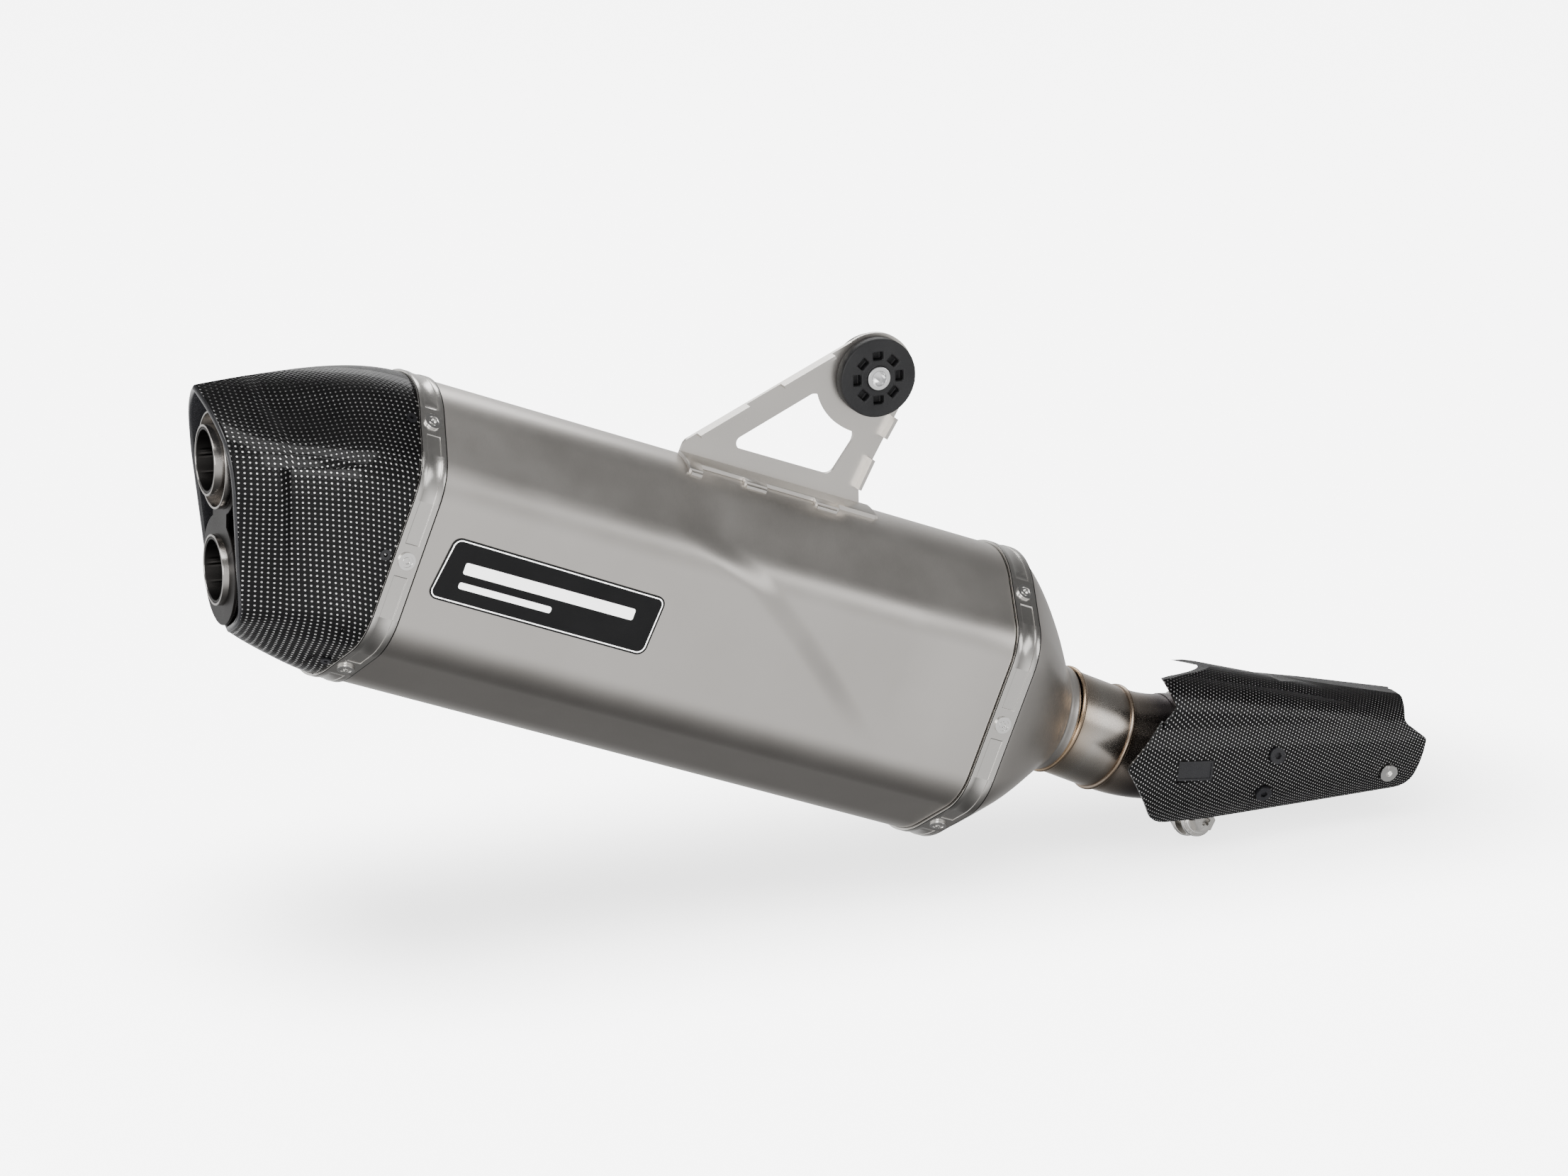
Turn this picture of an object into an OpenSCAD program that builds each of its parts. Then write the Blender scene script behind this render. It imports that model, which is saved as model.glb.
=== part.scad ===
// Twin-outlet slip-on silencer for a motorcycle: rounded six-sided muffler, carbon end cap,
// hanger bracket with rubber bush, link pipe, clamped inlet socket and carbon heat shield.
// Millimetres. Origin: centre of the inlet socket's mouth. +X forward, +Y across, +Z up.

/* [Muffler] */
// Tilt of the muffler, rising to the rear
tilt = 21.5; // [15:0.5:28]
// Distance between the two band centres
band_pitch = 387; // [340:1:420]
// Half width of the muffler section
half_w = 70; // [66:0.5:74]
// Height of the side corner above the axis
corner_h = 49; // [46:0.5:52]
// Height of the sharp apex before rounding
apex_h = 102.5; // [100:0.5:106]
// Rounding of the four side corners
corner_r = 30; // [24:1:34]
// Rounding of the top and bottom
apex_r = 54; // [48:1:58]
// Sheet thickness of the sleeve
skin = 1.2; // [1:0.1:1.6]
// Width of each band
band_w = 16; // [14:0.5:18]
// Thickness of each band
band_t = 1.6; // [1.4:0.1:2]

/* [Pipe] */
// Outer diameter of the link pipe
pipe_od = 63.5; // [62:0.5:64]
// Wall of the link pipe
pipe_wall = 1.2; // [1:0.1:1.5]
// Slope of the pipe where it leaves the cone
pipe_pitch = 26; // [22:0.5:30]
// Slope of the inlet socket
inlet_pitch = 6; // [4:0.5:9]
// Bend radius of the link pipe
bend_r = 110; // [100:1:130]
// Bore of the inlet socket
socket_bore = 60.4; // [60.2:0.1:60.8]
// Length of the inlet socket
socket_l = 50; // [46:1:56]

/* [Outlets] */
// Outer diameter of the outlet tubes
outlet_od = 40; // [38:0.5:42]
// Wall of the outlet tubes
outlet_wall = 1.5; // [1.2:0.1:1.8]
// Slope of the outlet tubes
outlet_pitch = 2.5; // [0:0.5:5]
// Inner diameter of the damper inserts
insert_id = 34; // [32:0.5:35]

/* [Mounting] */
// Bolt hole of the bush sleeve
bush_bore = 8.5; // [8.3:0.1:9]
// Thickness of the bracket plate
plate_t = 2.5; // [2:0.5:3]

/* [Hidden] */
$fn = 96;
bevel = atan((apex_h - corner_h) / half_w);
band_x = band_pitch / 2;
sleeve_end = band_x + 7.5;
sheet = 1.5;
cap_wall = 2;
rim_inset = 3.2;
dome_r = 109;
dome_x = 140;
neck_drop = 1.5;
cone_end = 264;
stub_l = 38;
pipe_r = pipe_od / 2;
core_r = 30;
core_front = 240;
wool_gap = 2.8;
rivet_y = 40;
rivet_r = 2.4;
bush_x = 71;
bush_z = 165;
bush_r = 23.3;
neck_r = 18.5;
clamp_x = -28;
clamp_w = 20;
clamp_roll = 17;
clamp_in = 32.6;
clamp_out = 34.6;
socket_r = 32.2;
bolt_drop = 45;
bolt_r = 4;
shield_t = 1.6;
shield_x0 = -100;
shield_r0 = 56.3;
shield_x1 = 118;
shield_r1 = 33.4;
shield_far = 4;
strap_r = 38;
seat_depth = 0.9;
outlet_gap = 63.7;
upper_rim = [-272.5, 119.2];
lower_rim = [-269.8, 55.5];
// the muffler's centre, found by walking back from the socket's mouth
bend_dx = bend_r * (sin(pipe_pitch) - sin(inlet_pitch));
bend_dz = bend_r * (cos(inlet_pitch) - cos(pipe_pitch));
neck_dx = cone_end * cos(tilt) - neck_drop * sin(tilt);
neck_dz = cone_end * sin(tilt) + neck_drop * cos(tilt);
muffler_x = -(neck_dx + stub_l * cos(pipe_pitch) + bend_dx + socket_l * cos(inlet_pitch));
muffler_z = neck_dz + stub_l * sin(pipe_pitch) + bend_dz + socket_l * sin(inlet_pitch);

// ---------- rounded outlines ----------
function unit(v) = v / norm(v);
function half_angle(p, a, b) = acos(unit(a - p) * unit(b - p)) / 2;
function arc_centre(p, a, b, r) = p + unit(unit(a - p) + unit(b - p)) * r / sin(half_angle(p, a, b));
function cut_a(p, a, b, r) = p + unit(a - p) * r / tan(half_angle(p, a, b));
function cut_b(p, a, b, r) = p + unit(b - p) * r / tan(half_angle(p, a, b));

// the points of an outline whose corners [place, radius] turn in true arcs, outward or inward
function turn(a) = (a + 540) % 360 - 180;
function bearing(v) = atan2(v[1], v[0]);
function corner_arc(p, a, b, r) = let (c = arc_centre(p, a, b, r),
    first = bearing(cut_a(p, a, b, r) - c),
    sweep = turn(bearing(cut_b(p, a, b, r) - c) - first))
    [for (k = [0:arc_steps]) c + r * [cos(first + sweep * k / arc_steps), sin(first + sweep * k / arc_steps)]];
function arc_outline(corners) = let (n = len(corners)) [for (i = [0:n - 1])
    let (p = corners[i][0], a = corners[(i + n - 1) % n][0], b = corners[(i + 1) % n][0], r = corners[i][1])
    each (r > 0 ? corner_arc(p, a, b, r) : [p])];
arc_steps = 4;

// a convex outline with each corner rounded by a true arc; radius 0 leaves the corner sharp
module rounded_outline(pts, radii) {
    n = len(pts);
    polygon([for (i = [0:n - 1]) for (k = [0:radii[i] > 0 ? 1 : 0])
        let (p = pts[i], a = pts[(i + n - 1) % n], b = pts[(i + 1) % n], r = radii[i])
        k == 0 ? cut_a(p, a, b, r) : cut_b(p, a, b, r)]);
    for (i = [0:n - 1]) {
        if (radii[i] > 0) {
            translate(arc_centre(pts[i], pts[(i + n - 1) % n], pts[(i + 1) % n], radii[i]))
                circle(r = radii[i], $fn = 240);
        }
    }
}

// the muffler's rounded six-sided section, grown by t
module section(t = 0) {
    w = half_w + t;
    ha = apex_h + t / cos(bevel);
    hc = ha - w * tan(bevel);
    rc = corner_r + t;
    ra = apex_r + t;
    rounded_outline([[w, hc], [0, ha], [-w, hc], [-w, -hc], [0, -ha], [w, -hc]],
        [rc, ra, rc, rc, ra, rc]);
}

// ---------- frames ----------
module along_x(x0, x1) {
    translate([x0, 0, 0]) rotate([90, 0, 90]) linear_extrude(x1 - x0) children();
}

// a side-view outline (x, z) given thickness across Y
module across_y(y0, y1) {
    translate([0, y1, 0]) rotate([90, 0, 0]) linear_extrude(y1 - y0) children();
}

module prism(t, x0, x1) {
    along_x(x0, x1) section(t);
}

module in_muffler() {
    translate([muffler_x, 0, muffler_z]) rotate([0, tilt, 0]) children();
}

module in_centre() {
    translate([muffler_x, 0, muffler_z]) children();
}

module in_inlet() {
    rotate([0, inlet_pitch, 0]) children();
}

module in_stub() {
    translate([muffler_x + neck_dx, 0, muffler_z - neck_dz]) rotate([0, pipe_pitch, 0]) children();
}

module tube_x(x0, x1, r_out, r_in) {
    difference() {
        translate([x0, 0, 0]) rotate([0, 90, 0]) cylinder(h = x1 - x0, r = r_out);
        translate([x0 - 1, 0, 0]) rotate([0, 90, 0]) cylinder(h = x1 - x0 + 2, r = r_in);
    }
}

module rod_x(x0, x1, r) {
    translate([x0, 0, 0]) rotate([0, 90, 0]) cylinder(h = x1 - x0, r = r);
}

// six places round the section, local +Z pointing out of the surface grown by t
module at_rivets(x, t) {
    for (s = [-1, 1]) {
        translate([x, s * (half_w + t), 0]) rotate([-s * 90, 0, 0]) children();
        for (u = [-1, 1]) {
            roll = u > 0 ? -s * bevel : -s * (180 - bevel);
            h = apex_h - rivet_y * tan(bevel);
            translate([x, s * (rivet_y + t * sin(bevel)), u * (h + t * cos(bevel))])
                rotate([roll, 0, 0]) children();
        }
    }
}

module rivet_holes(x) {
    at_rivets(x, 0) translate([0, 0, -8]) cylinder(h = 16, r = rivet_r);
}

// ---------- muffler ----------
// forward of the pressed line the sleeve's flank drops back by step_in
step_in = 0.6;
module flank_region() {
    polygon([[-22, 56], [-10, 46], [11, 36], [50, 10], [93, -24], [118, -46], [172, -46],
        [176, -20], [176, 56]]);
}

module sleeve_shell() {
    color("silver") in_muffler() difference() {
        prism(0, -sleeve_end, sleeve_end);
        prism(-skin, -sleeve_end - 1, sleeve_end + 1);
        across_y(half_w - step_in, half_w + 9) flank_region();
        across_y(-half_w - 9, -half_w + step_in) flank_region();
        rivet_holes(-band_x);
        rivet_holes(band_x);
    }
}

// pressed pads between the rivets, half a millimetre deep
module band_at(x) {
    pad_w = 8;
    pad_in = 0.5;
    lug = 19;
    in_muffler() difference() {
        prism(band_t, x - band_w / 2, x + band_w / 2);
        prism(0, x - band_w, x + band_w);
        difference() {
            prism(band_t + 1, x - pad_w / 2, x + pad_w / 2);
            prism(band_t - pad_in, x - pad_w, x + pad_w);
            at_rivets(x, 0) cube([band_w, lug, 8], center = true);
        }
        rivet_holes(x);
    }
}

module rear_band() {
    color("lightgray") band_at(-band_x);
}

module front_band() {
    color("lightgray") band_at(band_x);
}

module blind_rivet() {
    difference() {
        union() {
            cylinder(h = 1.3, r = 5);
            translate([0, 0, -5.4]) cylinder(h = 5.4, r = rivet_r);
        }
        translate([0, 0, 0.3]) cylinder(h = 2, r = 1.6);
        translate([0, 0, 0.8]) difference() {
            cylinder(h = 1, r = 3.4);
            cylinder(h = 3, r = 2.3, center = true);
        }
    }
}

module rear_band_rivets() {
    color("whitesmoke") in_muffler() at_rivets(-band_x, band_t) blind_rivet();
}

module front_band_rivets() {
    color("whitesmoke") in_muffler() at_rivets(band_x, band_t) blind_rivet();
}

// outlet tube places: local +X forward along the tube, origin at the rear rim
module at_outlet(rim) {
    in_centre() translate([rim[0], 0, rim[1]]) rotate([0, outlet_pitch, 0]) children();
}

cap_rivet_x = -sleeve_end - 5;
rim_front = -band_x + 9;
rim_rear = -sleeve_end - 12;
module rear_bulkhead() {
    color("gainsboro") difference() {
        in_muffler() difference() {
            union() {
                prism(-skin, -sleeve_end, rim_front);
                intersection() {
                    prism(-cap_wall, rim_rear, -sleeve_end + 0.5);
                    muffler_from_centre() cap_hollow();
                }
            }
            prism(-rim_inset, -sleeve_end + 4, rim_front + 1);
            prism(-rim_inset, rim_rear - 1, -sleeve_end + 4 - sheet);
            rivet_holes(-band_x);
            at_rivets(cap_rivet_x, 0) translate([0, 0, -8]) cylinder(h = 16, r = 1.6);
        }
        at_outlet(upper_rim) rod_x(-10, 140, outlet_od / 2);
        at_outlet(lower_rim) rod_x(-10, 140, outlet_od / 2);
    }
}

front_wall_x = 181;
middle_wall_x = -66;
module front_baffle() {
    color("gainsboro") in_muffler() difference() {
        prism(-skin, front_wall_x, front_wall_x + sheet);
        rod_x(front_wall_x - 5, front_wall_x + 5, core_r);
    }
}

module middle_baffle() {
    color("gainsboro") in_muffler() difference() {
        prism(-skin, middle_wall_x - sheet, middle_wall_x);
        rod_x(middle_wall_x - 5, middle_wall_x + 5, core_r);
    }
}

module perforated_core() {
    rows = 10;
    row_pitch = 22;
    hole_r = 4;
    color("silver") in_muffler() difference() {
        tube_x(middle_wall_x - 8, core_front, core_r, core_r - 1);
        for (i = [0:rows - 1]) {
            for (k = [0:2]) {
                translate([-44 + i * row_pitch, 0, 0]) rotate([60 * k + 30 * (i % 2), 0, 0])
                    cylinder(h = 80, r = hole_r, center = true);
            }
        }
    }
}

module wool_packing() {
    color("khaki") in_muffler() difference() {
        prism(-skin - wool_gap, middle_wall_x, front_wall_x);
        rod_x(middle_wall_x - 5, front_wall_x + 5, core_r);
    }
}

// domed front: the muffler's section closed by a ball-shaped face, then a short straight neck
module dome(t) {
    intersection() {
        prism(t, sleeve_end, cone_end);
        translate([dome_x, 0, 0]) sphere(r = dome_r + t);
    }
}

bead_r = 1.6;
neck_l = 24;
neck_gap = 0.5;

module front_cone() {
    color("silver") difference() {
        union() {
            in_stub() rod_x(-neck_l, -neck_gap, pipe_r + skin);
            in_muffler() cone_sheet();
        }
        in_stub() rod_x(-neck_l - 10, 10, pipe_r);
    }
}

module cone_sheet() {
    difference() {
        union() {
            dome(0);
            prism(-skin, band_x - 9, sleeve_end);
        }
        difference() {
            dome(-skin);
            prism(0, sleeve_end - 1, sleeve_end + skin);
        }
        prism(-2 * skin, band_x - 10, sleeve_end + skin + 0.01);
        rivet_holes(band_x);
    }
}

// ---------- pipe ----------
module bead_ring(r, x) {
    translate([x, 0, 0]) rotate([0, 90, 0]) difference() {
        rotate_extrude() translate([r, 0]) circle(r = bead_r);
        translate([0, 0, -4]) cylinder(h = 8, r = r);
    }
}

module cone_weld() {
    color("tan") in_stub() bead_ring(pipe_r, bead_r - neck_gap + 0.05);
}

module bend_piece(r) {
    in_stub() translate([stub_l, 0, 0]) rotate([0, -pipe_pitch, 0])
        translate([bend_r * sin(pipe_pitch), 0, bend_r * cos(pipe_pitch)])
        rotate([90, 0, 0]) rotate([0, 0, -90 - pipe_pitch])
        rotate_extrude(angle = pipe_pitch - inlet_pitch) translate([bend_r, 0]) circle(r = r);
}

module link_stub() {
    color("rosybrown") in_stub() tube_x(0, stub_l, pipe_r, pipe_r - pipe_wall);
}

module link_bend() {
    color("rosybrown") difference() {
        bend_piece(pipe_r);
        bend_piece(pipe_r - pipe_wall);
    }
}

module link_weld() {
    color("tan") in_stub() bead_ring(pipe_r, stub_l - bead_r);
}

module inlet_socket() {
    slot_l = 30;
    slot_w = 2.5;
    color("silver") in_inlet() difference() {
        tube_x(-socket_l, 0, socket_r, socket_bore / 2);
        for (k = [0:3]) {
            rotate([45 + 90 * k, 0, 0]) translate([-slot_l, -slot_w / 2, 20])
                cube([slot_l + 2, slot_w, 20]);
        }
    }
}

// ---------- clamp ----------
// local +X along the pipe, local -Z towards the lugs, local -Y towards the bolt's head
module in_clamp() {
    in_inlet() translate([clamp_x, 0, 0]) rotate([-clamp_roll, 0, 0]) children();
}

lug_t = 3;
lug_gap = 9;
lug_out = lug_gap / 2 + lug_t;
washer_t = 2;
module clamp_band() {
    lug_h = bolt_drop + 8;
    color("silver") in_clamp() difference() {
        union() {
            rod_x(-clamp_w / 2, clamp_w / 2, clamp_out);
            translate([-clamp_w / 2, -lug_out, -lug_h + 8])
                cube([clamp_w, 2 * lug_out, lug_h - 8]);
            translate([0, lug_out, -bolt_drop]) rotate([90, 0, 0]) cylinder(h = 2 * lug_out, r = 10);
        }
        rod_x(-clamp_w, clamp_w, clamp_in);
        translate([-clamp_w, -lug_gap / 2, -lug_h - 10]) cube([2 * clamp_w, lug_gap, lug_h]);
        translate([0, 30, -bolt_drop]) rotate([90, 0, 0]) cylinder(h = 60, r = 4.4);
    }
}

module clamp_barrel() {
    color("silver") in_clamp() translate([0, lug_out, -bolt_drop]) rotate([-90, 0, 0]) difference() {
        cylinder(h = 9, r = 7.5, $fn = 6);
        translate([0, 0, -1]) cylinder(h = 12, r = bolt_r + 0.05);
    }
}

module clamp_washer() {
    color("whitesmoke") in_clamp() translate([0, -lug_out, -bolt_drop]) rotate([90, 0, 0])
        difference() {
        cylinder(h = washer_t, r = 8);
        translate([0, 0, -1]) cylinder(h = washer_t + 2, r = bolt_r + 0.3);
    }
}

module clamp_bolt() {
    head_h = 8;
    flange_h = 1.6;
    lobes = 6;
    color("lightgray") in_clamp() translate([0, -lug_out - washer_t, -bolt_drop]) rotate([90, 0, 0])
        difference() {
        union() {
            translate([0, 0, -2 * lug_out - washer_t - 11]) cylinder(h = 30, r = bolt_r);
            cylinder(h = flange_h, r = 7.6);
            cylinder(h = head_h, r = 7, $fn = 6);
        }
        translate([0, 0, head_h - 4]) {
            cylinder(h = 6, r = 2.6);
            for (k = [0:lobes - 1]) {
                rotate([0, 0, 360 / lobes * k]) translate([2.6, 0, 0]) cylinder(h = 6, r = 0.9);
            }
        }
    }
}

// ---------- end cap ----------
crown_x = -232;
crown_z = -172;
crown_r = 337;
cap_mid = 84.6;
// the raked rear line of the mouth: straight from its foot, then curving back to the pointed top
mouth_foot = 18;
mouth_top = 163;
mouth_x = -261.5;
mouth_rake = 0.06;
mouth_hook = 6;
hook_from = 111;
mouth_steps = 10;
function hook(z) = pow(max(0, z - hook_from) / (mouth_top - hook_from), 3);
function rear_x(z) = mouth_x - mouth_rake * (z - mouth_foot) - mouth_hook * hook(z);
function mouth_z(i) = mouth_top - (mouth_top - mouth_foot) * i / mouth_steps;
// the cut-off tail under the mouth, and how far its inner face lies above and in front of it
cap_tail = [[-248, 4], [-236, -4], [-222, -10], [-180, -24], [-100, -60]];
tail_wall = [1, 2.5];
foot_lip = [2.5, -1.5];
module cap_side() {
    intersection() {
        translate([crown_x, crown_z]) circle(r = crown_r);
        polygon(concat([[-100, 190], [-280, 190]], [for (i = [0:mouth_steps]) [rear_x(mouth_z(i)), mouth_z(i)]],
            cap_tail));
    }
}

module cap_plan(t) {
    rounded_outline([[-100, 73 + t], [-204, 71 + t], [-249, 56 + t], [-300, 10 + t],
        [-300, -10 - t], [-249, -56 - t], [-204, -71 - t], [-100, -73 - t]],
        [0, 60, 45, 0, 0, 45, 60, 0]);
}

module cap_cross(t) {
    roof = 35;
    w = 67.5 + t;
    top = 90.2 + t / cos(roof);
    low = top - w * tan(roof);
    rounded_outline([[w, low], [0, top], [-w, low], [-w, -90], [0, -140], [w, -90]],
        [26 + t, 46 + t, 26 + t, 20, 40, 20]);
}

module cap_body() {
    intersection() {
        in_muffler() prism(0, -sleeve_end - 150, -sleeve_end);
        in_centre() across_y(-90, 90) cap_side();
        in_centre() translate([0, 0, -80]) linear_extrude(300) cap_plan(0);
        in_centre() translate([0, 0, cap_mid]) along_x(-330, -60) cap_cross(0);
    }
}

// undoes in_muffler, for a form already stated in the part's own frame
module muffler_from_centre() {
    rotate([0, -tilt, 0]) translate([-muffler_x, 0, -muffler_z]) children();
}

// the hollow runs out through the rear mouth
module cap_hollow() {
    intersection() {
        in_muffler() prism(-cap_wall, -sleeve_end - 150, -sleeve_end + 1);
        in_centre() across_y(-90, 90) intersection() {
            translate([crown_x, crown_z]) circle(r = crown_r - cap_wall);
            polygon(concat([[-100, 190], [-320, 190], [-320, 24.5], [-269, 24.5],
                [mouth_x, mouth_foot] + foot_lip], [for (p = cap_tail) p + tail_wall]));
        }
        in_centre() translate([0, 0, -80]) linear_extrude(300) cap_plan(-cap_wall);
        in_centre() translate([0, 0, cap_mid]) along_x(-330, -60) cap_cross(-cap_wall);
    }
}

module end_cap() {
    color("dimgray") difference() {
        cap_body();
        cap_hollow();
        in_muffler() at_rivets(cap_rivet_x, 0) translate([0, 0, -8]) cylinder(h = 16, r = 1.6);
    }
}

module cap_rivets() {
    color("gray") in_muffler() at_rivets(cap_rivet_x, 0) difference() {
        union() {
            cylinder(h = 0.9, r = 3.1);
            translate([0, 0, -4.6]) cylinder(h = 4.6, r = 1.6);
        }
        translate([0, 0, -0.4]) cylinder(h = 2, r = 1.2);
    }
}

// ---------- outlets ----------
plate_in = 9;
module outlet_end_plate() {
    color("silver") difference() {
        at_outlet(upper_rim) {
            rod_x(plate_in, plate_in + sheet, 31);
            translate([plate_in, 0, -outlet_gap]) rod_x(0, sheet, 31);
            translate([plate_in, -13, -outlet_gap / 2 - 14]) cube([sheet, 26, 28]);
        }
        at_outlet(upper_rim) rod_x(0, 30, outlet_od / 2);
        at_outlet(lower_rim) rod_x(0, 30, outlet_od / 2);
        at_outlet(upper_rim) collar_ring(27.5);
        at_outlet(lower_rim) collar_ring(27.5);
    }
}

collar_x0 = 4;
collar_l = 12;
module collar_ring(r) {
    rod_x(collar_x0, collar_x0 + collar_l, r);
}

module collar_body() {
    difference() {
        collar_ring(27.5);
        rod_x(collar_x0 - 1, collar_x0 + collar_l - sheet, 26);
        rod_x(0, 30, outlet_od / 2);
    }
}

module upper_collar() {
    color("whitesmoke") at_outlet(upper_rim) collar_body();
}

module lower_collar() {
    color("whitesmoke") at_outlet(lower_rim) collar_body();
}

module outlet_tube(l) {
    tube_x(0, l, outlet_od / 2, outlet_od / 2 - outlet_wall);
}

module upper_outlet_tube() {
    color("silver") at_outlet(upper_rim) outlet_tube(122);
}

module lower_outlet_tube() {
    color("silver") at_outlet(lower_rim) outlet_tube(100);
}

insert_l = 82;
insert_r = outlet_od / 2 - outlet_wall - 0.08;
module damper_insert() {
    rows = 6;
    difference() {
        tube_x(0.3, insert_l, insert_r, insert_id / 2);
        for (i = [0:rows - 1]) {
            for (k = [0:1]) {
                translate([20 + 9.5 * i, 0, 0]) rotate([90 * k + 45 * (i % 2), 0, 0])
                    cylinder(h = 50, r = 2, center = true);
            }
        }
    }
}

module upper_damper_insert() {
    color("gray") at_outlet(upper_rim) damper_insert();
}

module lower_damper_insert() {
    color("gray") at_outlet(lower_rim) damper_insert();
}

// ---------- hanger bracket ----------
plate_y = -3;
saddle_t = 2.5;
eye_r = 25;
module plate_outline() {
    difference() {
        union() {
            polygon(arc_outline([[[-28, 86], 0], [[-28, 97], 7], [[53, 182], 0], [[71, 178], 0],
                [[95, 158], 0], [[87, 100], 0], [[93, 86], 0]]));
            translate([bush_x, bush_z]) circle(r = eye_r);
        }
        difference() {
            rounded_outline([[-2, 101.5], [40, 146], [74, 130], [67, 102]], [4, 5, 8, 6]);
            translate([bush_x, bush_z]) circle(r = 35);
        }
        translate([bush_x, bush_z]) circle(r = neck_r);
    }
}

module lip(x0, z0, x1, z1) {
    t = 2;
    d = [x1 - x0, z1 - z0] / norm([x1 - x0, z1 - z0]);
    across_y(plate_y - 6, plate_y)
        polygon([[x0, z0], [x1, z1], [x1 + t * d[1], z1 - t * d[0]], [x0 + t * d[1], z0 - t * d[0]]]);
}

module bracket_plate() {
    color("lightgray") in_muffler() difference() {
        union() {
            across_y(plate_y, plate_y + plate_t) plate_outline();
            lip(-22, 103.4, 1, 127.7);
            lip(17, 144.6, 41, 169.9);
            lip(93.2, 145, 91, 132);
            lip(88.5, 118, 86.6, 99);
        }
        prism(saddle_t, -60, 120);
    }
}

module bracket_saddle() {
    color("lightgray") in_muffler() intersection() {
        difference() {
            prism(saddle_t, -29, 101);
            prism(0, -60, 120);
        }
        bracket_saddle_block();
    }
}

module bracket_welds() {
    color("tan") in_muffler() difference() {
        union() {
            for (x = [10, 57]) {
                translate([x, -20.5, 0]) rotate([0, 90, 0]) translate([-84.4, 0, 0])
                    cylinder(h = 13, r = 1.8);
            }
            translate([-27, -23.5, 83.4]) rotate([0, 90, 0]) cylinder(h = 7, r = 1.8);
            translate([98.4, -14, 86.8]) rotate([-90, 0, 0]) cylinder(h = 12, r = 1.8);
        }
        prism(0, -60, 120);
        bracket_saddle_block();
    }
}

module bracket_saddle_block() {
    translate([-28, -16, 60]) cube([126, 16, 60]);
    translate([9, -20, 60]) cube([15, 8, 60]);
    translate([56, -20, 60]) cube([16, 8, 60]);
    translate([-28, -23, 60]) cube([9, 12, 60]);
}

// round pieces on the bush axis, y measured across the bike
module on_bush(y0, y1, r) {
    in_muffler() translate([bush_x, y1, bush_z]) rotate([90, 0, 0]) cylinder(h = y1 - y0, r = r);
}

bush_near = plate_y - 8;
bush_far = plate_y + plate_t + 6;
module bush_rubber() {
    pockets = 8;
    color("darkslategray") difference() {
        union() {
            on_bush(bush_near, plate_y, bush_r);
            on_bush(plate_y, plate_y + plate_t, neck_r);
            on_bush(plate_y + plate_t, bush_far, bush_r);
        }
        on_bush(bush_near - 1, bush_far + 1, 7);
        in_muffler() translate([bush_x, bush_near, bush_z]) rotate([0, tilt, 0])
            for (k = [0:pockets - 1]) {
                rotate([0, 360 / pockets * (k + 0.5) - tilt, 0])
                    translate([10.7, -1, -3.1]) cube([4.8, 6, 6.2]);
            }
    }
}

module bush_sleeve() {
    color("whitesmoke") difference() {
        on_bush(bush_near - 1.2, bush_far + 1.2, 7);
        on_bush(bush_near - 5, bush_far + 5, bush_bore / 2);
    }
}

// ---------- heat shield ----------
// a cone round the inlet axis with two flares that swell its upper rear corner
flare_l = 150;
module shield_form(t) {
    translate([shield_x0, 0, 0]) rotate([0, 90, 0])
        cylinder(h = shield_x1 - shield_x0, r1 = shield_r0 + t, r2 = shield_r1 + t);
    translate([-72, -20, 30]) rotate([0, 94, 0]) cylinder(h = flare_l, r1 = 27 + t, r2 = 10 + t);
    translate([-72, -8, 24]) rotate([0, 90, 0]) cylinder(h = flare_l, r1 = 38 + t, r2 = 10 + t);
}

function shield_r(x) = shield_r0 + (shield_r1 - shield_r0) * (x - shield_x0) / (shield_x1 - shield_x0);

// the shield from the side: flare tip, notch and rear point, straight lower edge, nose, tongue notch, top edge
shield_rear = [[[-70, 53], 0], [[-64, 38], 5], [[-98, 5], 3]];
shield_low = [[[-70, -35], 20], [[-30, -35], 0]];
shield_nose = [[[108, -20], 12], [[116, 11], 2], [[101, 21], 4], [[106, 33], 1]];
shield_top = [[[20, 44], 0], [[-5, 54], 8]];
module shield_side() {
    polygon(arc_outline(concat(shield_rear, shield_low, shield_nose, shield_top)));
}

// places on the shield: x along the pipe, a is the angle above level on the outer side
module on_shield(x, a, r) {
    in_inlet() translate([x, 0, 0]) rotate([90 - a, 0, 0]) translate([0, 0, r]) children();
}

screw_places = [[7, 9], [2, -22]];
front_place = [90, -14];
badge_place = [-50, 1];
module heat_shield() {
    color("dimgray") difference() {
        in_inlet() difference() {
            intersection() {
                shield_form(0);
                across_y(-80, shield_far) shield_side();
            }
            shield_form(-shield_t);
        }
        for (p = screw_places) {
            on_shield(p[0], p[1], shield_r(p[0]) - seat_depth) cylinder(h = 10, r = 6.2);
            on_shield(p[0], p[1], shield_r(p[0]) - 6) cylinder(h = 10, r = 3.2);
        }
        on_shield(front_place[0], front_place[1], shield_r(front_place[0]) - seat_depth)
            cylinder(h = 10, r = 6.4);
        on_shield(front_place[0], front_place[1], shield_r(front_place[0]) - 6)
            cylinder(h = 10, r = 3.2);
        on_shield(badge_place[0], badge_place[1], shield_r(badge_place[0]) - 1.1)
            badge_block(25, 14);
    }
}

module badge_block(l, h) {
    translate([-l / 2, -h / 2, 0]) cube([l, h, 8]);
}

module shield_badge() {
    color("black") on_shield(badge_place[0], badge_place[1], shield_r(badge_place[0]) - 1.1)
        translate([-11.5, -6, 0]) difference() {
        cube([23, 12, 1]);
        translate([1.2, 1.2, 0.6]) cube([20.6, 9.6, 1]);
    }
}

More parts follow.
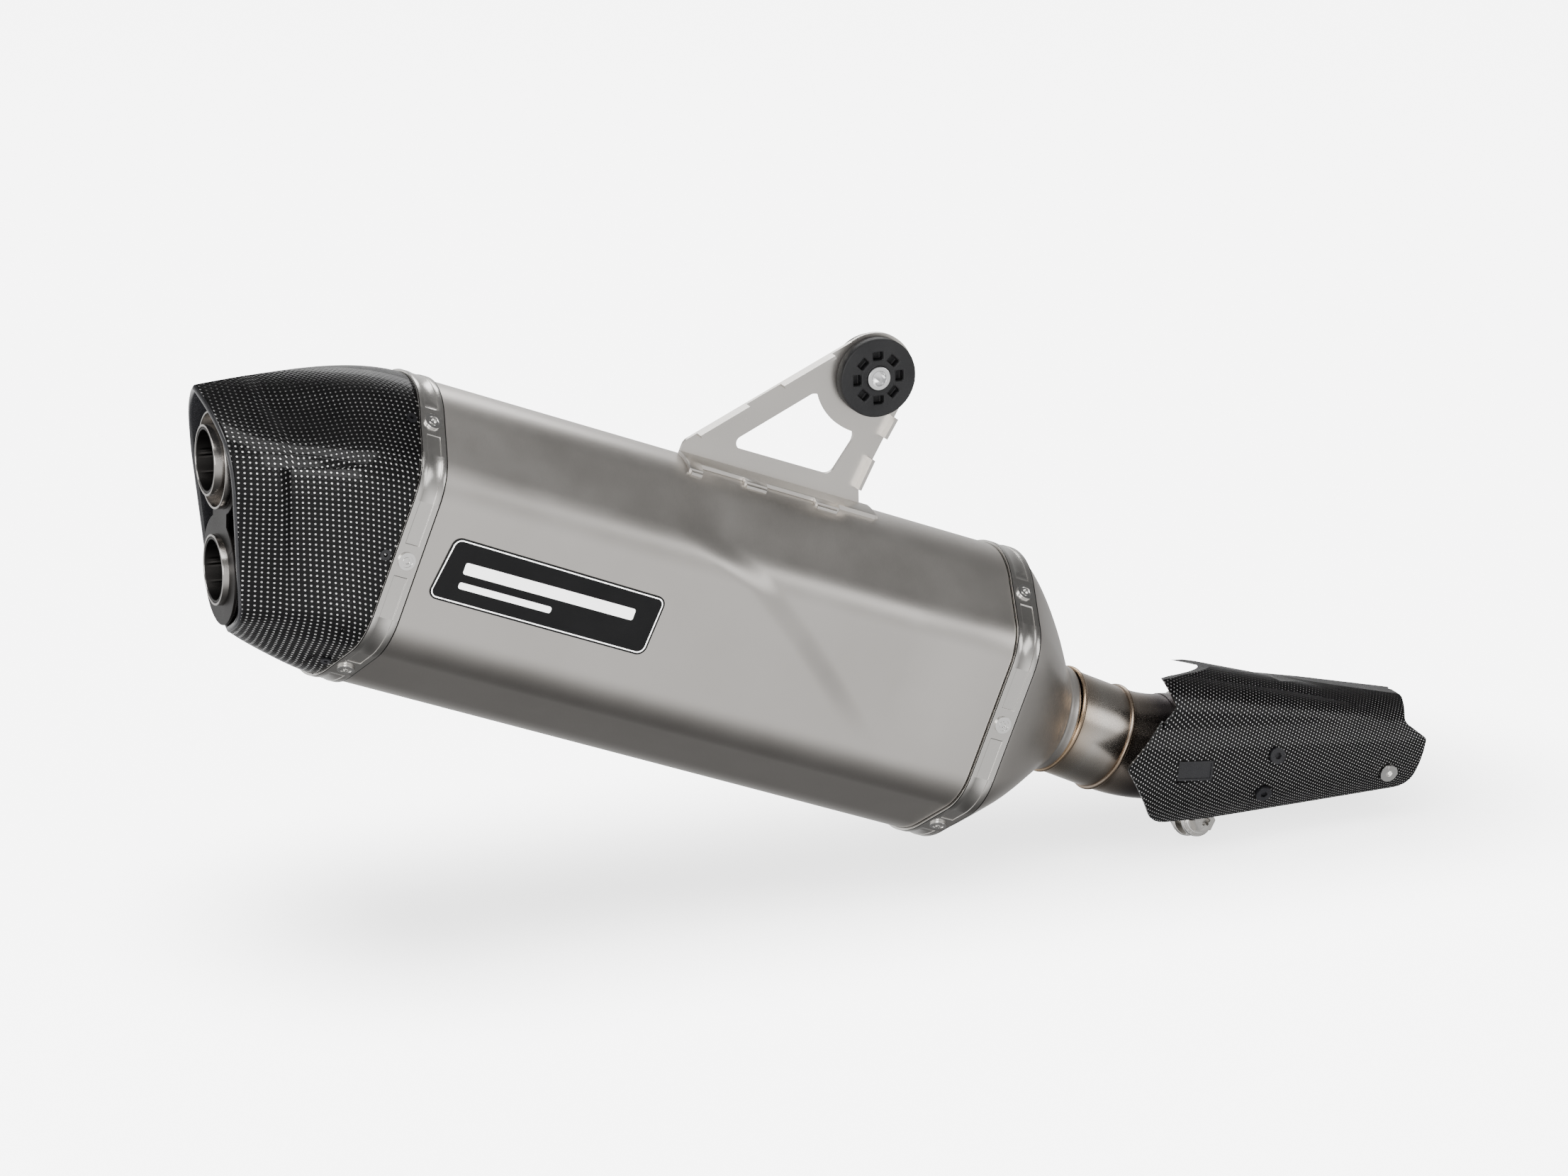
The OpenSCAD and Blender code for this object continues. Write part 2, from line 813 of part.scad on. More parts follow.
module shield_strap() {
    strap_w = 36;
    color("silver") in_inlet() difference() {
        union() {
            intersection() {
                tube_x(-56, 16, strap_r + sheet, strap_r);
                translate([-60, -60, -21]) cube([80, 60, strap_w]);
            }
            intersection() {
                tube_x(-56, -44, strap_r + 0.2, socket_r);
                translate([-60, -60, -21]) cube([80, 60, strap_w]);
            }
        }
        for (p = screw_places) {
            translate([p[0], 0, 0]) rotate([90 - p[1], 0, 0]) cylinder(h = 60, r = nut_r);
        }
        rotate([0, -inlet_pitch, 0]) bend_piece(pipe_r + 0.01);
    }
}

// threaded bushes pressed through the strap
nut_r = 5;
module shield_nuts() {
    color("gray") for (p = screw_places) {
        in_inlet() translate([p[0], 0, 0]) rotate([90 - p[1], 0, 0])
            translate([0, 0, strap_r - 2.5]) difference() {
            cylinder(h = 5.5, r = nut_r);
            translate([0, 0, -1]) cylinder(h = 8, r = 3.05);
        }
    }
}

module screw(head_r, head_h, l) {
    difference() {
        union() {
            cylinder(h = head_h, r = head_r);
            translate([0, 0, -l]) cylinder(h = l, r = 3);
        }
        translate([0, 0, head_h - 1.8]) cylinder(h = 5, r = 2.3, $fn = 6);
    }
}

module shield_screws() {
    color("black") for (p = screw_places) {
        on_shield(p[0], p[1], shield_r(p[0]) - seat_depth) screw(5, 2.8, 12);
    }
}

module shield_front_screw() {
    color("lightgray") on_shield(front_place[0], front_place[1],
        shield_r(front_place[0]) - seat_depth) screw(5.6, 3, 4.4);
}

// threaded spacer under the front screw, shaped to the shield's inner face
module shield_front_spacer() {
    spacer_l = 3.4;
    color("gray") difference() {
        on_shield(front_place[0], front_place[1], shield_r(front_place[0]) - shield_t - spacer_l)
            difference() {
            cylinder(h = spacer_l + 3, r = 6);
            translate([0, 0, -1]) cylinder(h = 12, r = 3.05);
        }
        in_inlet() difference() {
            translate([60, -80, -60]) cube([60, 160, 120]);
            shield_form(-shield_t);
        }
    }
}

// ---------- plates ----------
module side_label() {
    label_t = 0.5;
    color("black") in_muffler() difference() {
        across_y(-half_w - label_t, -half_w)
            rounded_outline([[-38, -17], [-36, 18.5], [-170, 20.5], [-175, -16.5]], [6, 5, 6, 5]);
        across_y(-half_w - 2, -half_w - label_t / 2) {
            polygon([[-159, 1], [-52, 1], [-52, 8], [-159, 8]]);
            polygon([[-159, -7.5], [-101, -7.5], [-101, -3.5], [-159, -3.5]]);
        }
    }
}

sleeve_shell();
rear_band();
front_band();
rear_band_rivets();
front_band_rivets();
rear_bulkhead();
front_baffle();
middle_baffle();
perforated_core();
wool_packing();
front_cone();
cone_weld();
link_stub();
link_bend();
link_weld();
inlet_socket();
clamp_band();
clamp_barrel();
clamp_washer();
clamp_bolt();
end_cap();
cap_rivets();
outlet_end_plate();
upper_collar();
lower_collar();
upper_outlet_tube();
lower_outlet_tube();
upper_damper_insert();
lower_damper_insert();
bracket_plate();
bracket_saddle();
bracket_welds();
bush_rubber();
bush_sleeve();
heat_shield();
shield_strap();
shield_nuts();
shield_screws();
shield_front_screw();
shield_front_spacer();
side_label();
shield_badge();
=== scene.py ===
import math
import bpy
import numpy as np
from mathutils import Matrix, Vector


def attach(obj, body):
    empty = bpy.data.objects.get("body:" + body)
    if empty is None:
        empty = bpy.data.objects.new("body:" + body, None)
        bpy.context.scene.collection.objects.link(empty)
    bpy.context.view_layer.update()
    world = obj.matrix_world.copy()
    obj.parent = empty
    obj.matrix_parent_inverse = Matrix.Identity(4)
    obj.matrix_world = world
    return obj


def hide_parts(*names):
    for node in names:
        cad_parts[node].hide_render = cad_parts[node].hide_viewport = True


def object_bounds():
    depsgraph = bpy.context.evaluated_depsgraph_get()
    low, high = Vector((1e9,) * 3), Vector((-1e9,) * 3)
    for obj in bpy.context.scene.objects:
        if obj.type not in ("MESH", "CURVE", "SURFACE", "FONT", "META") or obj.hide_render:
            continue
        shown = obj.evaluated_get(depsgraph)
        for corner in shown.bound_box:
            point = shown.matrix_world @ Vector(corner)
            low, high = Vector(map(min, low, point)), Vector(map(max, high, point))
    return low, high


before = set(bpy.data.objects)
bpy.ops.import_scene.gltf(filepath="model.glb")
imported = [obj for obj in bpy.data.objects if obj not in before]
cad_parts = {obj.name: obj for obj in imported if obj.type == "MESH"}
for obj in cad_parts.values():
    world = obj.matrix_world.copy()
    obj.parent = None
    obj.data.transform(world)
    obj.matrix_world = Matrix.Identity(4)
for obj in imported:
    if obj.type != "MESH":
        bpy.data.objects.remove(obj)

MM = 0.001
CAD_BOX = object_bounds()

# ---------------------------------------------------------------- frames of the part (mm)
TILT = math.radians(21.5)
PITCH = math.radians(6.0)
STUB = math.radians(26.0)
CT, ST = math.cos(TILT), math.sin(TILT)
# the dome's end and drop, the straight stub, the bend's radius and the socket
CONE_END, NECK_DROP, STUB_L, BEND_R, SOCKET_L = 264, 1.5, 38, 110, 50
NECK_X = CONE_END * CT - NECK_DROP * ST
NECK_Z = CONE_END * ST + NECK_DROP * CT
MX = -(NECK_X + STUB_L * math.cos(STUB) + BEND_R * (math.sin(STUB) - math.sin(PITCH))
       + SOCKET_L * math.cos(PITCH))
MZ = (NECK_Z + STUB_L * math.sin(STUB) + BEND_R * (math.cos(PITCH) - math.cos(STUB))
      + SOCKET_L * math.sin(PITCH))
HALF_W, CORNER_H, APEX_H, R_CORNER, R_APEX = 70.0, 49.0, 102.5, 30.0, 54.0
BEVEL = math.atan((APEX_H - CORNER_H) / HALF_W)
SLEEVE_END = 201.0
SHEET_T, CAP_T = 1.2, 2.0


def from_muffler(p):
    p = np.asarray(p, float)
    x, y, z = p[..., 0], p[..., 1], p[..., 2]
    return np.stack([MX + x * CT + z * ST, y, MZ - x * ST + z * CT], -1)


def from_centre(p):
    return np.asarray(p, float) + np.array([MX, 0, MZ])


def smooth(a, b, x):
    t = np.clip((np.asarray(x, float) - a) / (b - a), 0, 1)
    return t * t * (3 - 2 * t)


def rounded(points, radii, n=10):
    """A closed outline whose corners are arcs of n steps."""
    out = []
    m = len(points)
    for i in range(m):
        p = np.array(points[i], float)
        a = np.array(points[i - 1], float) - p
        b = np.array(points[(i + 1) % m], float) - p
        a /= np.linalg.norm(a)
        b /= np.linalg.norm(b)
        half = math.acos(float(a @ b)) / 2
        r = radii[i]
        c = p + (a + b) / np.linalg.norm(a + b) * r / math.sin(half)
        p1 = p + a * r / math.tan(half) - c
        p2 = p + b * r / math.tan(half) - c
        a1 = math.atan2(p1[1], p1[0])
        a2 = math.atan2(p2[1], p2[0])
        d = (a2 - a1 + math.pi) % (2 * math.pi) - math.pi
        turns = [a1 + d * k / n for k in range(n + 1)]
        out += [c + r * np.array([math.cos(ang), math.sin(ang)]) for ang in turns]
    return np.array(out)


def outline(t=0.0, n=320):
    """The muffler's section grown by t, n points starting at the top middle, towards -p (the outer side)."""
    w = HALF_W + t
    ha = APEX_H + t / math.cos(BEVEL)
    hc = ha - w * math.tan(BEVEL)
    pts = [(0, ha), (-w, hc), (-w, -hc), (0, -ha), (w, -hc), (w, hc)]
    rad = [R_APEX + t, R_CORNER + t, R_CORNER + t, R_APEX + t, R_CORNER + t, R_CORNER + t]
    out = rounded(pts, rad, 40)
    top = int(np.argmax(out[:, 1]))
    out = np.roll(out, -top, 0)
    loop = np.vstack([out, out[:1]])
    s = np.r_[0, np.cumsum(np.linalg.norm(np.diff(loop, axis=0), axis=1))]
    u = np.linspace(0, s[-1], n, endpoint=False)
    pts = np.stack([np.interp(u, s, loop[:, 0]), np.interp(u, s, loop[:, 1])], 1)
    tan = np.roll(pts, -1, 0) - np.roll(pts, 1, 0)
    tan /= np.linalg.norm(tan, axis=1)[:, None]
    nrm = np.stack([tan[:, 1], -tan[:, 0]], 1)
    if (nrm * pts).sum() < 0:
        nrm = -nrm
    return pts, nrm


# ---------------------------------------------------------------- building pieces
def add_mesh(name, verts, faces, mat, body, replaces=(), uv=None, angle=40, smooth_on=True):
    me = bpy.data.meshes.new(name)
    me.from_pydata([tuple(v) for v in np.asarray(verts, float) * MM], [], [tuple(f) for f in faces])
    me.validate()
    me.update()
    if uv is not None:
        layer = me.uv_layers.new(name="UVMap")
        uv = np.asarray(uv, float)
        idx = np.zeros(len(me.loops), int)
        me.loops.foreach_get("vertex_index", idx)
        layer.data.foreach_set("uv", uv[idx].ravel())
    if smooth_on:
        me.polygons.foreach_set("use_smooth", [True] * len(me.polygons))
        me.set_sharp_from_angle(angle=math.radians(angle))
    me.materials.append(mat)
    ob = bpy.data.objects.new(name, me)
    bpy.context.scene.collection.objects.link(ob)
    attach(ob, body)
    if replaces:
        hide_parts(*replaces)
    return ob


def grid_faces(rows, cols):
    """Faces between rings of points; each ring is closed."""
    f = []
    for i in range(rows - 1):
        for j in range(cols):
            a, b = i * cols + j, i * cols + (j + 1) % cols
            c, d = (i + 1) * cols + (j + 1) % cols, (i + 1) * cols + j
            f.append((a, b, c, d))
    return f


def solidify(ob, thickness, offset=-1.0):
    m = ob.modifiers.new("wall", "SOLIDIFY")
    m.thickness = thickness * MM
    m.offset = offset
    m.use_even_offset = True
    return ob


def bevel(ob, width, segments=2, angle=35):
    w = ob.modifiers.new("weld", "WELD")
    w.merge_threshold = 0.00001
    m = ob.modifiers.new("edges", "BEVEL")
    m.width = width * MM
    m.segments = segments
    m.limit_method = "ANGLE"
    m.angle_limit = math.radians(angle)
    m.harden_normals = False
    return ob


# ---------------------------------------------------------------- materials
class Nodes:
    def __init__(self, name):
        self.mat = bpy.data.materials.new(name)
        self.mat.use_nodes = True
        self.t = self.mat.node_tree
        self.p = self.t.nodes["Principled BSDF"]

    def new(self, kind, **props):
        n = self.t.nodes.new(kind)
        for k, v in props.items():
            setattr(n, k, v)
        return n

    def link(self, a, b):
        self.t.links.new(a, b)

    def math(self, op, a, b=None):
        n = self.new("ShaderNodeMath", operation=op)
        for i, v in enumerate((a, b)):
            if v is None:
                continue
            if isinstance(v, (int, float)):
                n.inputs[i].default_value = v
            else:
                self.link(v, n.inputs[i])
        return n.outputs[0]

    def object_coords(self, scale=(1, 1, 1)):
        tc = self.new("ShaderNodeTexCoord")
        mp = self.new("ShaderNodeMapping")
        mp.inputs["Scale"].default_value = scale
        self.link(tc.outputs["Object"], mp.inputs["Vector"])
        return mp.outputs[0]

    def noise(self, coords, scale, detail=3.0, rough=0.6):
        n = self.new("ShaderNodeTexNoise")
        n.inputs["Scale"].default_value = scale
        n.inputs["Detail"].default_value = detail
        n.inputs["Roughness"].default_value = rough
        self.link(coords, n.inputs["Vector"])
        return n.outputs["Fac"]

    def spread(self, value, lo, hi, from_lo=0.3, from_hi=0.7):
        n = self.new("ShaderNodeMapRange")
        n.inputs["From Min"].default_value = from_lo
        n.inputs["From Max"].default_value = from_hi
        n.inputs["To Min"].default_value = lo
        n.inputs["To Max"].default_value = hi
        self.link(value, n.inputs["Value"])
        return n.outputs[0]

    def mix(self, fac, a, b):
        n = self.new("ShaderNodeMix", data_type="RGBA")
        if isinstance(fac, (int, float)):
            n.inputs[0].default_value = fac
        else:
            self.link(fac, n.inputs[0])
        for i, v in ((6, a), (7, b)):
            if isinstance(v, tuple):
                n.inputs[i].default_value = (*v, 1)
            else:
                self.link(v, n.inputs[i])
        return n.outputs[2]

    def bump(self, height, distance, strength=1.0):
        n = self.new("ShaderNodeBump")
        n.inputs["Distance"].default_value = distance
        n.inputs["Strength"].default_value = strength
        self.link(height, n.inputs["Height"])
        self.link(n.outputs[0], self.p.inputs["Normal"])
        return n


def axis_coord(m, angle, offset):
    """Millimetres along an axis that lies in the XZ plane, tilted by angle, less offset."""
    tc = m.new("ShaderNodeTexCoord")
    rot = m.new("ShaderNodeVectorRotate", rotation_type="Y_AXIS")
    rot.inputs["Angle"].default_value = -angle
    m.link(tc.outputs["Object"], rot.inputs["Vector"])
    sep = m.new("ShaderNodeSeparateXYZ")
    m.link(rot.outputs[0], sep.inputs[0])
    return m.math("SUBTRACT", m.math("MULTIPLY", sep.outputs[0], 1000.0), offset)


def metal(name, light, dark, rough, vary=0.05, grain=1800, stretch=(1, 1, 1), bump=0.00001, gap_shade=()):
    m = Nodes(name)
    fine = m.noise(m.object_coords(stretch), grain, 4, 0.65)
    wide = m.noise(m.object_coords(), 14, 3, 0.6)
    color = m.mix(m.spread(wide, 0, 1), dark, light)
    if gap_shade:
        # painted shade: near-black rings at the given distances along the axis, where the shadow gaps beside
        # the bands fall
        x = m.math("ABSOLUTE", axis_coord(m, TILT, MX * CT - MZ * ST))
        for place, width in gap_shade:
            in_gap_shade = m.math("LESS_THAN", m.math("ABSOLUTE", m.math("SUBTRACT", x, place)), width)
            color = m.mix(in_gap_shade, color, (0.012, 0.011, 0.010))
    m.link(color, m.p.inputs["Base Color"])
    both = m.math("ADD", m.math("MULTIPLY", fine, 0.5), m.math("MULTIPLY", wide, 0.5))
    m.link(m.spread(both, rough - vary, rough + vary, 0.35, 0.65), m.p.inputs["Roughness"])
    m.p.inputs["Metallic"].default_value = 1.0
    m.bump(fine, bump)
    return m.mat


SHIELD_MID_R = 42.0
CAP_TOW, CAP_LAY = 2.1, 45
SHIELD_TOW, SHIELD_LAY = 1.4, 20


def tows(width, lay):
    """The two crossing tow directions of a plain weave: tow width in millimetres, lay angle in degrees."""
    a = math.radians(lay)
    return (math.cos(a) / width, math.sin(a) / width), (math.sin(a) / width, -math.cos(a) / width)


def carbon(name, mode, lattice):
    """Plain weave under lacquer. lattice is what tows() gives, over millimetres of (u, v).
    mode: 'uv' (millimetres in the UV map) or 'pipe' (wrapped round the inlet axis)."""
    m = Nodes(name)
    tc = m.new("ShaderNodeTexCoord")
    sep = m.new("ShaderNodeSeparateXYZ")
    if mode == "uv":
        m.link(tc.outputs["UV"], sep.inputs[0])
        u, v = sep.outputs[0], sep.outputs[1]
    else:
        rot = m.new("ShaderNodeVectorRotate", rotation_type="Y_AXIS")
        rot.inputs["Angle"].default_value = -PITCH
        m.link(tc.outputs["Object"], rot.inputs["Vector"])
        m.link(rot.outputs[0], sep.inputs[0])
        u = m.math("MULTIPLY", sep.outputs[0], 1000.0)
        ang = m.math("ARCTAN2", sep.outputs[2], m.math("MULTIPLY", sep.outputs[1], -1.0))
        v = m.math("MULTIPLY", ang, SHIELD_MID_R)
    (a, b), (c, d) = lattice
    s = m.math("ADD", m.math("ADD", m.math("MULTIPLY", u, a), m.math("MULTIPLY", v, b)), 2000.0)
    t = m.math("ADD", m.math("ADD", m.math("MULTIPLY", u, c), m.math("MULTIPLY", v, d)), 2000.0)
    fs, ft = m.math("FRACT", s), m.math("FRACT", t)
    parity = m.math("MODULO", m.math("ADD", m.math("FLOOR", s), m.math("FLOOR", t)), 2.0)
    over = m.math("LESS_THAN", parity, 0.5)
    crown_s = m.math("SINE", m.math("MULTIPLY", fs, math.pi))
    crown_t = m.math("SINE", m.math("MULTIPLY", ft, math.pi))
    crown = m.math("MULTIPLY", crown_s, crown_t)
    # painted glints: the tows' crowns are coloured bright on the sides and fade where the surface faces up, a
    # painted shade of the upper faces; the plain weave under them is the real pattern
    facing = m.new("ShaderNodeSeparateXYZ")
    m.link(m.new("ShaderNodeNewGeometry").outputs["Normal"], facing.inputs[0])
    side = m.spread(facing.outputs[2], 1, 0, 0.50, 0.95)
    painted_glint = m.math("MULTIPLY", m.math("MULTIPLY", over, side), m.spread(crown, 0, 1, 0.68, 0.84))
    wide = m.noise(m.object_coords(), 60, 2, 0.5)
    m.link(m.mix(painted_glint, (0.0016, 0.0016, 0.0017), (0.66, 0.655, 0.65)), m.p.inputs["Base Color"])
    m.link(m.math("MULTIPLY", painted_glint, 0.96), m.p.inputs["Metallic"])
    m.link(m.math("ADD", m.spread(wide, 0.24, 0.34), m.math("MULTIPLY", painted_glint, 0.06)), m.p.inputs["Roughness"])
    m.p.inputs["Specular IOR Level"].default_value = 0.12
    m.p.inputs["Coat Weight"].default_value = 0.16
    m.p.inputs["Coat Roughness"].default_value = 0.07
    m.bump(m.math("ADD", crown, m.math("MULTIPLY", over, 0.3)), 0.00022, 0.6)
    return m.mat


def plain(name, light, dark, rough, bump=0.00003, scale=900, coat=0.0, spec=0.5):
    m = Nodes(name)
    n = m.noise(m.object_coords(), scale, 3, 0.6)
    wide = m.noise(m.object_coords(), 40, 3, 0.6)
    m.link(m.mix(m.spread(wide, 0, 1), dark, light), m.p.inputs["Base Color"])
    m.link(m.spread(n, rough - 0.06, rough + 0.06), m.p.inputs["Roughness"])
    m.p.inputs["Coat Weight"].default_value = coat
    m.p.inputs["Specular IOR Level"].default_value = spec
    m.bump(n, bump)
    return m.mat


def tint_and_shield_shade(name):
    """Titanium pipe with heat colours that gather round the two welds, and painted shade that darkens it
    towards the inlet under the heat shield.
    """
    m = Nodes(name)
    tc = m.new("ShaderNodeTexCoord")
    rot = m.new("ShaderNodeVectorRotate", rotation_type="Y_AXIS")
    rot.inputs["Angle"].default_value = -STUB
    m.link(tc.outputs["Object"], rot.inputs["Vector"])
    sep = m.new("ShaderNodeSeparateXYZ")
    m.link(rot.outputs[0], sep.inputs[0])
    wide = m.noise(m.object_coords(), 22, 3, 0.6)
    neck = np.array([MX + NECK_X, 0, MZ - NECK_Z]) * MM
    x0 = float(neck[0] * math.cos(STUB) - neck[2] * math.sin(STUB))
    at = m.math("ADD", sep.outputs[0], m.math("MULTIPLY", m.math("SUBTRACT", wide, 0.5), 0.012))
    fac = m.spread(at, 0, 1, x0, x0 + 0.100)
    ramp = m.new("ShaderNodeValToRGB")
    m.link(fac, ramp.inputs[0])
    # heat colours at the two welds; the dark stops from 0.58 on are painted shade of the heat shield over the
    # bend and socket
    stops = [(0.0, (0.36, 0.26, 0.17)), (0.05, (0.56, 0.48, 0.40)), (0.16, (0.62, 0.58, 0.53)),
             (0.30, (0.54, 0.49, 0.44)), (0.37, (0.24, 0.18, 0.13)), (0.42, (0.44, 0.38, 0.33)),
             (0.58, (0.13, 0.112, 0.112)), (1.0, (0.06, 0.056, 0.06))]
    ramp.color_ramp.elements[0].position = stops[0][0]
    ramp.color_ramp.elements[0].color = (*stops[0][1], 1)
    ramp.color_ramp.elements[1].position = stops[-1][0]
    ramp.color_ramp.elements[1].color = (*stops[-1][1], 1)
    for pos, col in stops[1:-1]:
        ramp.color_ramp.elements.new(pos).color = (*col, 1)
    m.link(ramp.outputs[0], m.p.inputs["Base Color"])
    fine = m.noise(m.object_coords(), 1500, 4, 0.6)
    m.link(m.spread(fine, 0.22, 0.34), m.p.inputs["Roughness"])
    m.p.inputs["Metallic"].default_value = 1.0
    m.bump(fine, 0.000008)
    return m.mat


# the sleeve and the bands carry painted shade rings at the band edges
TITANIUM = metal("titanium_satin", (0.68, 0.65, 0.615), (0.62, 0.59, 0.555), 0.35, 0.04,
                 gap_shade=((185.15, 0.35), (201.9, 0.4)))
BAND = metal("band_brushed", (0.70, 0.68, 0.65), (0.60, 0.58, 0.55), 0.22, 0.05, 1400, (0.3, 1, 1),
             gap_shade=((185.9, 0.3), (201.1, 0.3)))
BRACKET = metal("bracket_satin", (0.68, 0.65, 0.61), (0.61, 0.585, 0.55), 0.32, 0.05, 1600)
STEEL = metal("steel_satin", (0.58, 0.565, 0.54), (0.48, 0.465, 0.445), 0.20, 0.05)
BRIGHT = metal("steel_polished", (0.86, 0.85, 0.83), (0.78, 0.77, 0.75), 0.11, 0.04, 2500)
ALLOY = metal("alloy_turned", (0.84, 0.84, 0.84), (0.74, 0.74, 0.75), 0.20, 0.05, 2200)
OUTLET = metal("outlet_steel", (0.42, 0.40, 0.38), (0.28, 0.265, 0.25), 0.18, 0.05, 1500)
# the parts inside the muffler are coloured near-black
DARK_STEEL = metal("near_black_inner_steel", (0.030, 0.028, 0.027), (0.018, 0.017, 0.016), 0.45, 0.07)
TINT_AND_SHIELD_SHADE = tint_and_shield_shade("titanium_heat_tint_and_shield_shade")
CAP_CARBON = carbon("carbon_weave_cap", "uv", tows(CAP_TOW, CAP_LAY))
SHIELD_CARBON = carbon("carbon_weave_shield", "pipe", tows(SHIELD_TOW, SHIELD_LAY))
LIP_CARBON = plain("carbon_lacquer_edge", (0.010, 0.010, 0.011), (0.005, 0.005, 0.006), 0.26, 0.000004, 300,
                   0.2)
BLACK = plain("black_coating", (0.010, 0.010, 0.011), (0.006, 0.006, 0.007), 0.30, spec=0.3)
RUBBER = plain("rubber_black", (0.008, 0.008, 0.0085), (0.005, 0.005, 0.0055), 0.46, 0.00005, 700, spec=0.3)
LABEL = plain("label_black", (0.004, 0.004, 0.0042), (0.003, 0.003, 0.0032), 0.40, 0.000006, spec=0.12)
LABEL_PALE = plain("label_pale", (0.86, 0.86, 0.85), (0.80, 0.80, 0.79), 0.38, 0.000006)
WOOL = plain("glass_wool", (0.62, 0.58, 0.42), (0.48, 0.44, 0.30), 0.9, 0.0006, 500)

for names, mat in (
    (("rear_band", "front_band"), BAND),
    (("rear_band_rivets", "front_band_rivets", "shield_front_screw", "clamp_washer"), BRIGHT),
    (("rear_bulkhead", "front_baffle", "middle_baffle", "perforated_core"), DARK_STEEL),
    (("upper_damper_insert", "lower_damper_insert", "outlet_end_plate"), DARK_STEEL),
    (("wool_packing",), WOOL),
    (("cone_weld", "link_weld", "link_stub", "link_bend", "inlet_socket"), TINT_AND_SHIELD_SHADE),
    (("clamp_band", "clamp_barrel", "clamp_bolt", "shield_front_spacer", "shield_nuts"), STEEL),
    (("upper_collar", "lower_collar", "upper_outlet_tube", "lower_outlet_tube"), OUTLET),
    (("cap_rivets", "shield_screws", "shield_badge"), BLACK),
    (("bracket_plate", "bracket_saddle", "bracket_welds", "shield_strap"), BRACKET),
    (("bush_rubber",), RUBBER), (("bush_sleeve",), ALLOY),
    (("heat_shield",), SHIELD_CARBON), (("side_label",), LABEL),
    (("sleeve_shell", "front_cone"), TITANIUM), (("end_cap",), CAP_CARBON),
):
    for n in names:
        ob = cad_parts[n]
        ob.data.materials.clear()
        ob.data.materials.append(mat)

for n, w in (("rear_band", 0.22), ("front_band", 0.22), ("bracket_plate", 0.5), ("bracket_saddle", 0.4),
             ("clamp_band", 0.5), ("clamp_bolt", 0.4), ("clamp_barrel", 0.5), ("bush_rubber", 0.8),
             ("bush_sleeve", 0.4), ("upper_collar", 0.5), ("lower_collar", 0.5), ("upper_outlet_tube", 0.5),
             ("lower_outlet_tube", 0.5), ("upper_damper_insert", 0.3), ("lower_damper_insert", 0.3),
             ("outlet_end_plate", 0.3), ("shield_front_screw", 0.5), ("shield_screws", 0.5),
             ("rear_band_rivets", 0.35), ("front_band_rivets", 0.35), ("clamp_washer", 0.3)):
    bevel(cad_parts[n], w)


# ---------------------------------------------------------------- sleeve
# the pressed line along the flank, in the muffler's side plane, and how deep the sheet falls beside it
CREASE_DEEP = 2.4
CREASE = np.array([(-34, 50), (-10, 45), (11.5, 36), (50, 11), (70, -4), (93, -23), (112, -40)], float)


def crease_distance(x, q):
    """Signed distance to the pressed line, positive on its front and upper side."""
    best = np.full(x.shape, 1e9)
    sign = np.ones(x.shape)
    for a, b in zip(CREASE[:-1], CREASE[1:]):
        d = b - a
        t = np.clip(((x - a[0]) * d[0] + (q - a[1]) * d[1]) / (d @ d), 0, 1)
        ex, ey = x - (a[0] + t * d[0]), q - (a[1] + t * d[1])
        dist = np.hypot(ex, ey)
        side = d[0] * (q - a[1]) - d[1] * (x - a[0])
        use = dist < best
        best = np.where(use, dist, best)
        sign = np.where(use, np.sign(side), sign)
    return best * sign


def build_sleeve():
    cols = 420
    pts, nrm = outline(0.0, cols)
    xs = np.unique(np.r_[np.linspace(-SLEEVE_END, -40, 40), np.linspace(-40, 130, 120),
                         np.linspace(130, SLEEVE_END, 24)])
    rows = len(xs)
    x = np.repeat(xs[:, None], cols, 1)
    q = np.repeat(pts[None, :, 1], rows, 0)
    d = crease_distance(x, q)
    depth = CREASE_DEEP * smooth(-2.0, 15.0, d)
    depth *= smooth(-42, 6, q)                     # fades towards the lower crease
    depth *= 1 - smooth(56, 86, q)                 # and over the upper bevel
    depth *= 1 - smooth(120, 186, x)               # back to the section before the front band
    depth *= smooth(-40, -6, x)
    depth[:, nrm[:, 0] == 0] = 0
    v = np.stack([x, pts[None, :, 0] - nrm[None, :, 0] * depth, pts[None, :, 1] - nrm[None, :, 1] * depth], -1)
    ob = add_mesh("sleeve_sheet", from_muffler(v).reshape(-1, 3), grid_faces(rows, cols), TITANIUM,
                  "silencer", ("sleeve_shell",), angle=60)
    return solidify(ob, SHEET_T, -1.0 if face_out(ob) else 1.0)


def face_out(ob):
    """True if the mesh's faces point away from its own middle."""
    me = ob.data
    c = np.zeros(len(me.polygons) * 3)
    n = np.zeros(len(me.polygons) * 3)
    me.polygons.foreach_get("center", c)
    me.polygons.foreach_get("normal", n)
    c = c.reshape(-1, 3)
    n = n.reshape(-1, 3)
    return float(((c - c.mean(0)) * n).sum()) > 0


